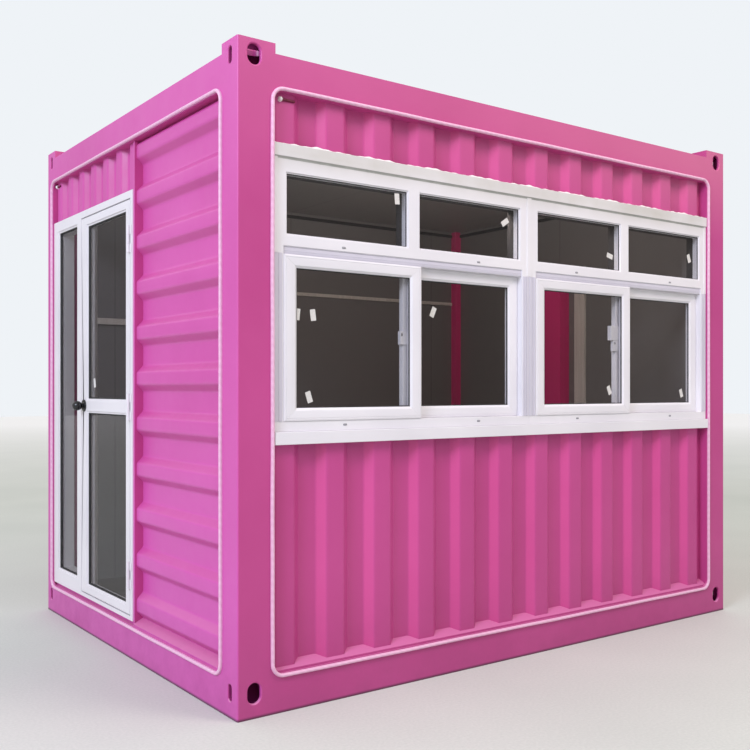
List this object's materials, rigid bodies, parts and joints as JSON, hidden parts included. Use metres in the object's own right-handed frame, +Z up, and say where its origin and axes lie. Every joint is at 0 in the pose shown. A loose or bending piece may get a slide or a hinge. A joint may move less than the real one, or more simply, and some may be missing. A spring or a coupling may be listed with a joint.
{
  "type": "container house",
  "caption": "Small steel container house with corrugated walls, a long sliding window over a counter-height wall, a glazed swing door with side light, and rope lights round the openings.",
  "frame": {"origin": "middle of the footprint on the ground", "axes": "+X along the front to the right as seen from the front, +Y from the front to the back, +Z up"},
  "size_m": [3.166, 2.312, 2.6],
  "materials": {
    "pink_paint": "satin",
    "white_frames": "white powder coat",
    "glass": "clear, grey tint",
    "deck": "matt",
    "lining": "matt painted board",
    "rope": "translucent silicone, unlit",
    "black_metal": "gloss"
  },
  "bodies": {
    "house": {"post_front_left": "pink_paint", "post_front_right": "pink_paint", "post_back_left": "pink_paint", "post_back_right": "pink_paint", "bottom_castings": "pink_paint", "top_castings": "pink_paint", "bottom_rail_front": "pink_paint", "bottom_rail_back": "pink_paint", "bottom_rail_left": "pink_paint", "bottom_rail_right": "pink_paint", "top_rail_front": "pink_paint", "top_rail_back": "pink_paint", "top_rail_left": "pink_paint", "top_rail_right": "pink_paint", "floor_joists": "pink_paint", "roof_sheet": "pink_paint", "window_beams": "pink_paint", "door_studs": "pink_paint", "foot_strips": "pink_paint", "door_threshold": "pink_paint", "front_sheet_lower": "pink_paint", "front_sheet_upper": "pink_paint", "left_sheet": "pink_paint", "door_head_sheet": "pink_paint", "back_sheet": "pink_paint", "right_sheet": "pink_paint", "inside_post": "pink_paint", "window_frame_left": "white_frames", "window_frame_right": "white_frames", "window_trim": "white_frames", "outer_sashes": "white_frames", "inner_sashes": "white_frames", "door_frame": "white_frames", "sash_glass": "glass", "upper_glass": "glass", "side_light_glass": "glass", "floor_deck": "deck", "ceiling_panel": "lining", "wall_linings": "lining", "rope_light_front": "rope", "rope_light_left": "rope", "jamb_hinges": "white_frames"},
    "door": {"door_leaf": "white_frames", "door_glass": "glass", "door_roses": "black_metal", "leaf_hinges": "white_frames"},
    "knobs": {"door_knobs": "black_metal"}
  },
  "joints": [
    {"name": "door_swing", "type": "hinge", "parent": "house", "child": "door", "pos_m": [-1.557, -0.067, 1.173], "axis": [0, 0, 1], "range_deg": [0, 165]},
    {"name": "knob_turn", "type": "hinge", "parent": "door", "child": "knobs", "pos_m": [-1.549, 0.5585, 1.173], "axis": [1, 0, 0], "range_deg": [-60, 60], "stiffness_Nm_per_rad": 0.4}
  ]
}
